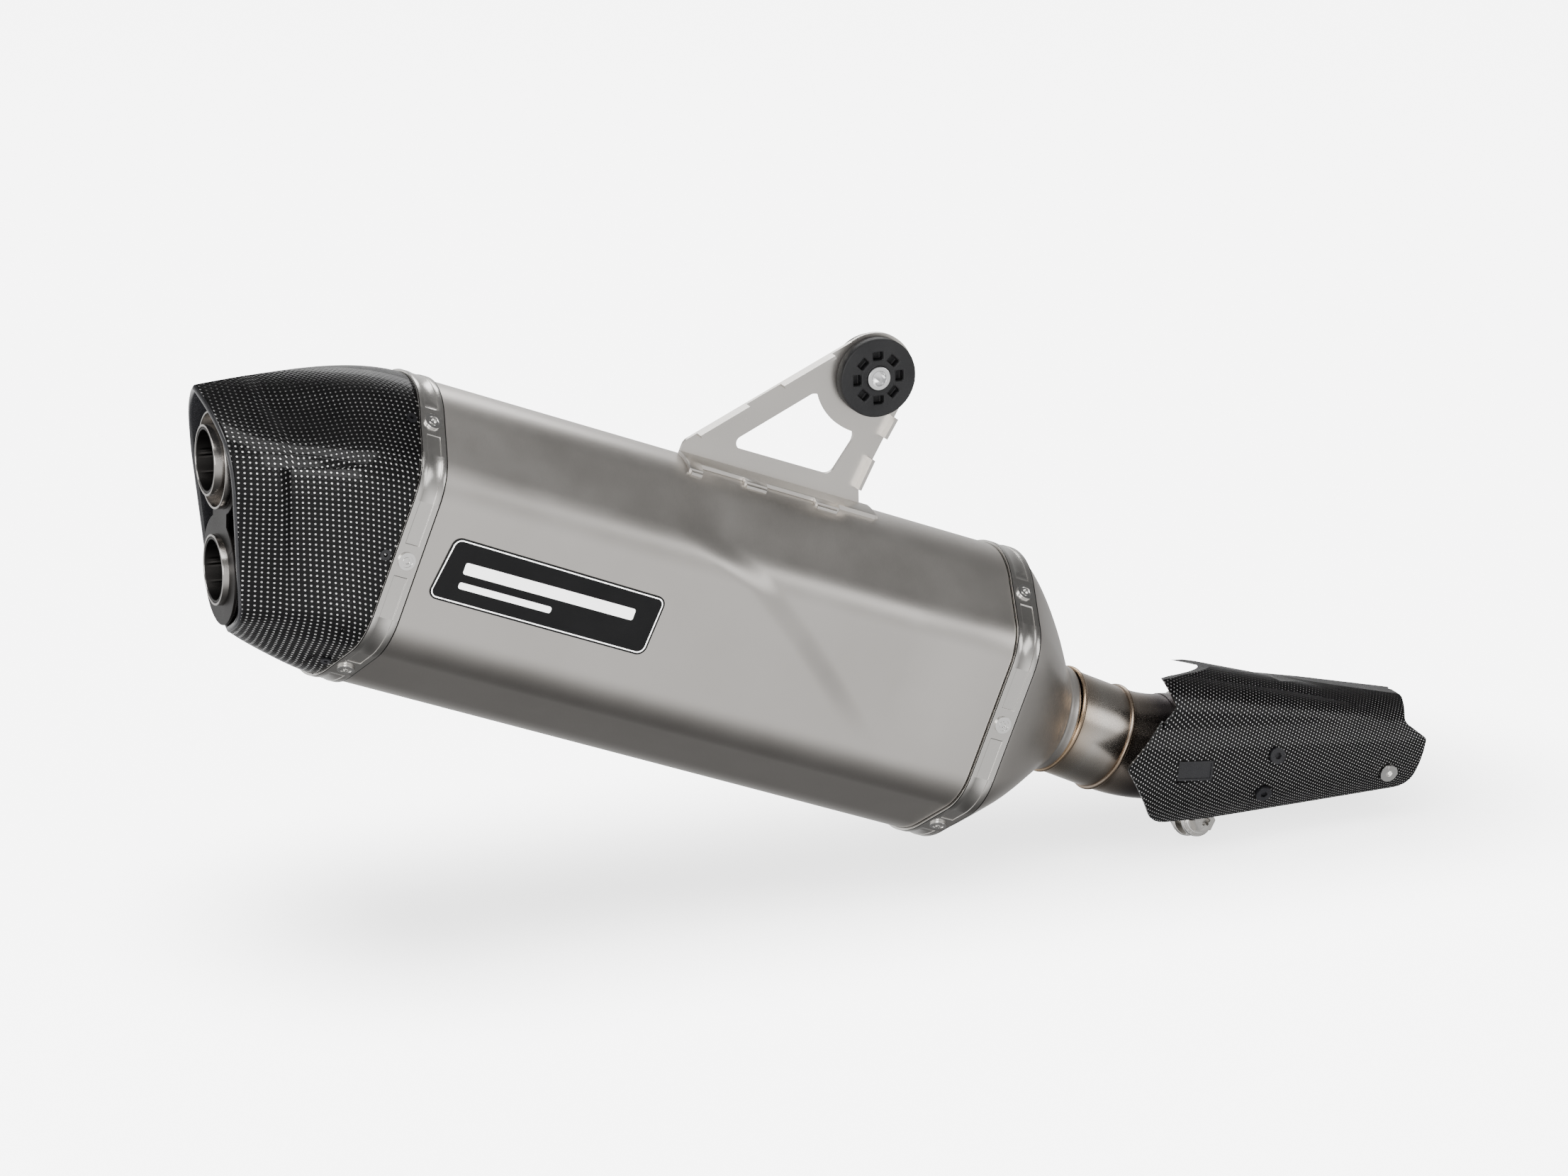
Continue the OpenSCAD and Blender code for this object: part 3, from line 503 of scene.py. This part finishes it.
# ---------------------------------------------------------------- dome
def build_dome():
    cols = 240
    base, _ = outline(-0.1, 900)
    ang = np.arctan2(base[:, 0], base[:, 1])
    rad = np.hypot(base[:, 0], base[:, 1])
    order = np.argsort(ang)
    a = np.linspace(-math.pi, math.pi, cols, endpoint=False)
    sec = np.interp(a, ang[order], rad[order], period=2 * math.pi)
    neck_r, dome_end = 32.2, 256.0
    xs = np.r_[np.linspace(196, SLEEVE_END, 4),
               SLEEVE_END + (dome_end - SLEEVE_END) * np.linspace(0.02, 1, 44) ** 0.85,
               np.linspace(257, 263.6, 5)]
    rows = []
    for x in xs:
        s = np.clip((x - SLEEVE_END) / (dome_end - SLEEVE_END), 0, 1)
        fillet = 1.2 * math.exp(-((x - dome_end) / 3.5) ** 2)
        r = neck_r + fillet + (sec - neck_r) * (1 - s ** 1.3)
        drop = 0.39 * smooth(SLEEVE_END, 240, x) - 0.0787 * max(0.0, x - 240)
        rows.append(np.stack([np.full(cols, x), r * np.sin(a), drop + r * np.cos(a)], -1))
    ob = add_mesh("dome_sheet", from_muffler(np.array(rows)).reshape(-1, 3), grid_faces(len(xs), cols),
                  TITANIUM, "silencer", ("front_cone",), angle=60)
    return solidify(ob, SHEET_T, -1.0 if face_out(ob) else 1.0)


# ---------------------------------------------------------------- end cap
def resample(pts, n, power=1.0):
    pts = np.asarray(pts, float)
    s = np.r_[0, np.cumsum(np.linalg.norm(np.diff(pts, axis=0), axis=1))]
    u = s[-1] * np.linspace(0, 1, n) ** power
    return np.stack([np.interp(u, s, pts[:, k]) for k in range(pts.shape[1])], 1)


# points across the cap's top, side and underside; the side's lie closer together at its top
N_TOP, N_SIDE, N_LOW = 70, 150, 60
SIDE_PACK = 1.35


def cap_start():
    """The cap's front edge on the outer side, top middle to bottom middle, relative to the centre."""
    pts, _ = outline(0.0, 1200)
    half = pts[:601]
    i1 = int(np.argmin(np.abs(half[:400, 1] - 47)))
    i2 = int(np.argmin(np.abs(half[:, 1] + 47)))
    line = np.vstack([resample(half[:i1 + 1], N_TOP)[:-1], resample(half[i1:i2 + 1], N_SIDE, SIDE_PACK)[:-1],
                      resample(half[i2:], N_LOW)])
    x, y, z = -200.5, line[:, 0], line[:, 1]
    return np.stack([x * CT + z * ST, y, -x * ST + z * CT], 1)


# the cap's mouth, relative to the centre: a raked rear line that curves back to a pointed top, and is
# widest at MOUTH_WIDE_Z
MOUTH_TOP, MOUTH_FOOT, MOUTH_WIDE_Z = 163.0, 18.0, 111.0
MOUTH_X, MOUTH_RAKE, MOUTH_HOOK = -261.5, 0.06, 6.0
MOUTH_HALF, MOUTH_TAPER, FOOT_ROUND = 42.0, 0.155, 24.0
SIDE_TOP, SIDE_LOW = 136.0, 28.0


def mouth_rim(z):
    z = np.asarray(z, float)
    up = np.clip((z - MOUTH_WIDE_Z) / (MOUTH_TOP - MOUTH_WIDE_Z), 0, 1)
    down = np.clip(MOUTH_WIDE_Z - z, 0, None)
    foot = np.clip((z - MOUTH_FOOT) / FOOT_ROUND, 0, 1)
    half = (MOUTH_HALF * (1 - up ** 3) - MOUTH_TAPER * down) * (1 - (1 - foot) ** 2)
    x = MOUTH_X - MOUTH_RAKE * (z - MOUTH_FOOT) - MOUTH_HOOK * up ** 3
    return np.stack([x, -half, z], 1)


def cap_rim():
    top = resample(mouth_rim(np.linspace(MOUTH_TOP, SIDE_TOP, 120)), N_TOP)
    side = resample(mouth_rim(np.linspace(SIDE_TOP, SIDE_LOW, 240)), N_SIDE, SIDE_PACK)
    low = resample(mouth_rim(np.linspace(SIDE_LOW, MOUTH_FOOT, 120)), N_LOW)
    return np.vstack([top[:-1], side[:-1], low])


# the recess in the cap's side: its ledge, height, depth and rear step
LEDGE_Z, RECESS_H, RECESS_DEEP, STEP_X = 127.0, 84.0, 8.5, -246.0


def build_cap():
    a, b = cap_start(), cap_rim()
    n = len(a)
    t = np.arange(n)
    i1, i2 = N_TOP - 1, N_TOP + N_SIDE - 2
    w_top = 1 - smooth(i1 - 40, i1 + 6, t)
    w_low = smooth(i2 - 10, i2 + 34, t)
    w_side = 1 - w_top - w_low
    end_dir = (w_top[:, None] * np.array([-0.99, 0, -0.09]) + w_side[:, None] * np.array([-0.80, 0.60, 0.0])
               + w_low[:, None] * np.array([-0.77, 0, 0.64]))
    end_dir[:, 1] *= np.where(np.abs(b[:, 1]) > 1e-6, 1, 0)
    end_dir /= np.linalg.norm(end_dir, axis=1)[:, None]
    span = np.linalg.norm(b - a, axis=1)
    l0 = span * (w_top * 0.9 + w_side * 0.95 + w_low * 0.6)
    l1 = span * (w_top * 0.9 + w_side * 1.45 + w_low * 1.0)
    start_dir = np.array([-CT, 0, ST])
    ss = np.unique(np.r_[np.linspace(0, 0.55, 30), np.linspace(0.55, 0.85, 60), np.linspace(0.85, 1, 14)])
    rows = []
    for s in ss:
        h00, h10 = 2 * s ** 3 - 3 * s ** 2 + 1, s ** 3 - 2 * s ** 2 + s
        h01, h11 = -2 * s ** 3 + 3 * s ** 2, s ** 3 - s ** 2
        p = h00 * a + h10 * start_dir * l0[:, None] + h01 * b + h11 * end_dir * l1[:, None]
        x, z = p[:, 0], p[:, 2]
        # the recessed side facet: a ledge above it and a slanted step behind it, fading down and forwards
        down = np.clip((LEDGE_Z - z) / RECESS_H, 0, 1)
        deep = RECESS_DEEP * (1 - down) * (1 - smooth(-236, -188, x)) * (1 - smooth(LEDGE_Z - 2.5, LEDGE_Z, z))
        step = np.clip((x - (STEP_X + 4.5 * down)) / (1.2 + 6.5 * (1 - down)), 0, 1)
        p[:, 1] += deep * step * np.where(np.abs(p[:, 1]) > 20, 1, 0)
        rows.append(p)
    rows = np.array(rows)
    far = rows[:, ::-1][:, 1:-1].copy()
    far[..., 1] *= -1
    full = np.concatenate([rows, far], 1)
    cols = full.shape[1]
    # weave coordinates in millimetres: forwards, and down the side along the surface
    mid = N_TOP + N_SIDE // 2
    run = np.cumsum(np.linalg.norm(np.diff(rows, axis=1), axis=2), axis=1)
    run = np.concatenate([np.zeros((len(rows), 1)), run], 1)
    run -= run[:, mid:mid + 1]
    uv = np.stack([full[..., 0], -np.concatenate([run, run[:, ::-1][:, 1:-1]], 1)], -1)
    v3 = from_centre(full).reshape(-1, 3)
    ob = add_mesh("cap_shell", v3, grid_faces(len(full), cols), CAP_CARBON, "silencer",
                  ("end_cap",), uv=uv.reshape(-1, 2), angle=30)
    solidify(ob, CAP_T, -1.0 if face_out(ob) else 1.0)
    build_mouth(full[-1])
    return ob


def build_mouth(loop):
    """The thick rounded edge of the cap's mouth, swept round its rim and run a little way inside."""
    n, k = len(loop), 12
    along = np.roll(loop, -1, 0) - np.roll(loop, 1, 0)
    along /= np.linalg.norm(along, axis=1)[:, None]
    back = np.tile(np.array([-1.0, 0, 0.05]), (n, 1))
    inward = np.cross(along, back)
    inward *= np.sign(((loop.mean(0) - loop) * inward).sum(1))[:, None]
    inward /= np.linalg.norm(inward, axis=1)[:, None]
    rows = []
    for i in range(k + 1):
        ang = math.pi * i / k
        rows.append(loop + inward * 1.9 * (1 - math.cos(ang)) + back * 1.5 * math.sin(ang))
    rows.append(rows[-1] - back * 16 + inward * 0.6)
    rows.append(rows[-1] - inward * 2.4)
    rows.append(loop - back * 3 + inward * 0.6)
    rows = np.array(rows)
    last = (len(rows) - 1) * n
    faces = grid_faces(len(rows), n)
    faces += [(last + j, last + (j + 1) % n, (j + 1) % n, j) for j in range(n)]
    return add_mesh("cap_mouth", from_centre(rows).reshape(-1, 3), faces, LIP_CARBON, "silencer",
                    angle=40)


# ---------------------------------------------------------------- label
def slab(name, loop, y0, y1, mat, inner=None):
    """A flat plate in the muffler's side plane, or a ring if an inner loop of the same length is given."""
    n = len(loop)
    if inner is None:
        v = [(x, y0, q) for x, q in loop] + [(x, y1, q) for x, q in loop]
        f = [tuple(range(n)), tuple(range(2 * n - 1, n - 1, -1))]
        f += [(i, i + n, (i + 1) % n + n, (i + 1) % n) for i in range(n)]
    else:
        v = [(x, y, q) for y, l in ((y0, loop), (y0, inner), (y1, loop), (y1, inner)) for x, q in l]
        f = []
        for i in range(n):
            j = (i + 1) % n
            f += [(i, i + n, j + n, j), (i + 2 * n, j + 2 * n, j + 3 * n, i + 3 * n),
                  (i, j, j + 2 * n, i + 2 * n), (i + n, i + 3 * n, j + 3 * n, j + n)]
    return add_mesh(name, from_muffler(np.array(v, float)), f, mat, "silencer", smooth_on=False)


LABEL_BARS = (("label_bar_long", -158.9, -52.1, 1.1, 7.9), ("label_bar_short", -158.9, -101.1, -7.4, -3.6))


def build_label():
    y_face = -HALF_W - 0.5
    corners = [(-38, -17), (-36, 18.5), (-170, 20.5), (-175, -16.5)]

    def inset(t):
        c = np.array(corners, float)
        mid = c.mean(0)
        return [tuple(p - np.sign(p - mid) * t) for p in c]
    slab("label_edge", rounded(inset(1.0), [5, 4, 5, 4]), y_face - 0.06, y_face + 0.1, LABEL_PALE,
         rounded(inset(1.7), [4.4, 3.4, 4.4, 3.4]))
    for name, x0, x1, q0, q1 in LABEL_BARS:
        bar = rounded([(x1, q0), (x1, q1), (x0, q1), (x0, q0)], [1.4] * 4, 6)
        slab(name, bar, y_face - 0.02, y_face + 0.24, LABEL_PALE)


build_sleeve()
build_dome()
build_cap()
build_label()

# ---------------------------------------------------------------- floor, light, camera
LOW = min(CAD_BOX[0][2], CAD_BOX[1][2])
FLOOR_GLOW = 6.0
floor_mesh = bpy.data.meshes.new("floor")
fm = [(-9, -7, LOW - 0.0005), (9, -7, LOW - 0.0005), (9, 9, LOW - 0.0005), (-9, 9, LOW - 0.0005)]
floor_mesh.from_pydata(fm, [], [(0, 1, 2, 3)])
floor = bpy.data.objects.new("floor", floor_mesh)
bpy.context.scene.collection.objects.link(floor)
fmat = plain("floor_paper", (0.93, 0.93, 0.93), (0.92, 0.92, 0.92), 0.9, 0.00001, 60)
# a bright glowing paper sweep with a painted shadow: its glow is turned down under the part
ft = fmat.node_tree
emit = ft.nodes["Principled BSDF"].inputs
emit["Emission Color"].default_value = (1, 1, 1, 1)
place = ft.nodes.new("ShaderNodeTexCoord")
axes = ft.nodes.new("ShaderNodeSeparateXYZ")
ft.links.new(place.outputs["Object"], axes.inputs[0])


def floor_math(op, a, b):
    n = ft.nodes.new("ShaderNodeMath")
    n.operation = op
    for i, v in enumerate((a, b)):
        if isinstance(v, (int, float)):
            n.inputs[i].default_value = v
        else:
            ft.links.new(v, n.inputs[i])
    return n.outputs[0]


# painted shadow: the glow drops from FLOOR_GLOW to 2.2 within 0.22 m of a line under the part
near_x = floor_math("MINIMUM", floor_math("MAXIMUM", axes.outputs[0], -0.50), 0.08)
away_x = floor_math("SUBTRACT", axes.outputs[0], near_x)
away_y = floor_math("SUBTRACT", axes.outputs[1], 0.03)
square_x = floor_math("MULTIPLY", away_x, away_x)
square_y = floor_math("MULTIPLY", away_y, away_y)
away = floor_math("POWER", floor_math("ADD", square_x, square_y), 0.5)
painted_shadow_glow = ft.nodes.new("ShaderNodeMapRange")
painted_shadow_glow.interpolation_type = "SMOOTHSTEP"
for key, value in (("From Min", 0.0), ("From Max", 0.22), ("To Min", 2.2), ("To Max", FLOOR_GLOW)):
    painted_shadow_glow.inputs[key].default_value = value
ft.links.new(away, painted_shadow_glow.inputs["Value"])
ft.links.new(painted_shadow_glow.outputs[0], emit["Emission Strength"])
floor_mesh.materials.append(fmat)
floor.visible_glossy = False

world = bpy.context.scene.world or bpy.data.worlds.new("World")
bpy.context.scene.world = world
world.use_nodes = True
bg = world.node_tree.nodes["Background"]
wt = world.node_tree
# the studio as the metal sees it: pale all round, dim overhead, underneath and towards the front end
sky = wt.nodes.new("ShaderNodeTexCoord")
sky_sep = wt.nodes.new("ShaderNodeSeparateXYZ")
wt.links.new(sky.outputs["Generated"], sky_sep.inputs[0])


def sky_tone(axis, tones):
    span = wt.nodes.new("ShaderNodeMapRange")
    span.inputs["From Min"].default_value = -1.0
    wt.links.new(sky_sep.outputs[axis], span.inputs["Value"])
    ramp = wt.nodes.new("ShaderNodeValToRGB")
    wt.links.new(span.outputs[0], ramp.inputs[0])
    ends = ramp.color_ramp.elements
    ends[0].position, ends[1].position = 0.0, 1.0
    ends[0].color = (*[tones[0][1]] * 3, 1)
    ends[1].color = (*[tones[-1][1]] * 3, 1)
    for at, tone in tones[1:-1]:
        ramp.color_ramp.elements.new((at + 1) / 2).color = (tone, tone, tone, 1)
    return ramp.outputs[0]


blend = wt.nodes.new("ShaderNodeMix")
blend.data_type = "RGBA"
blend.blend_type = "MULTIPLY"
blend.inputs[0].default_value = 1.0
UP_TONES = [(-1, 0.08), (-0.75, 0.25), (-0.5, 0.75), (-0.3, 1.0), (0.05, 0.95), (0.35, 0.5), (0.65, 0.26),
            (1, 0.22)]
FORWARD_TONES = [(-1, 1), (0.15, 1.0), (0.45, 0.78), (0.75, 0.36), (1, 0.30)]
wt.links.new(sky_tone(2, UP_TONES), blend.inputs[6])
wt.links.new(sky_tone(0, FORWARD_TONES), blend.inputs[7])
wt.links.new(blend.outputs[2], bg.inputs[0])
bg.inputs[1].default_value = 1.3


def softbox(name, loc, target, sx, sy, power, color=(1, 1, 1)):
    data = bpy.data.lights.new(name, "AREA")
    data.shape = "RECTANGLE"
    data.size, data.size_y = sx, sy
    data.energy = power
    data.color = color
    ob = bpy.data.objects.new(name, data)
    bpy.context.scene.collection.objects.link(ob)
    ob.location = loc
    ob.rotation_euler = (Vector(target) - Vector(loc)).to_track_quat("-Z", "Y").to_euler()
    return ob


AIM = (-0.36, 0, 0.12)
softbox("key_top", (-0.6, -0.9, 2.2), AIM, 2.4, 1.2, 46)
softbox("side_front", (-1.9, -2.4, 0.9), AIM, 1.6, 1.2, 34)
softbox("side_right", (1.8, -1.6, 1.0), AIM, 1.0, 1.4, 9)
softbox("back_rim", (0.3, 2.2, 1.6), AIM, 2.0, 0.8, 24)

CAMERA_AT = (-1.4135, -2.772, 1.0887)
CAMERA_AIM = (-0.325, -0.078, 0.1615)
CAMERA_LENS = 124.1
cam_data = bpy.data.cameras.new("photo_camera")
cam_data.lens = CAMERA_LENS
cam_data.sensor_width = 36.0
cam_data.clip_end = 60
cam = bpy.data.objects.new("photo_camera", cam_data)
bpy.context.scene.collection.objects.link(cam)
cam.location = CAMERA_AT
cam.rotation_euler = (Vector(CAMERA_AIM) - cam.location).to_track_quat("-Z", "Y").to_euler()
bpy.context.scene.camera = cam
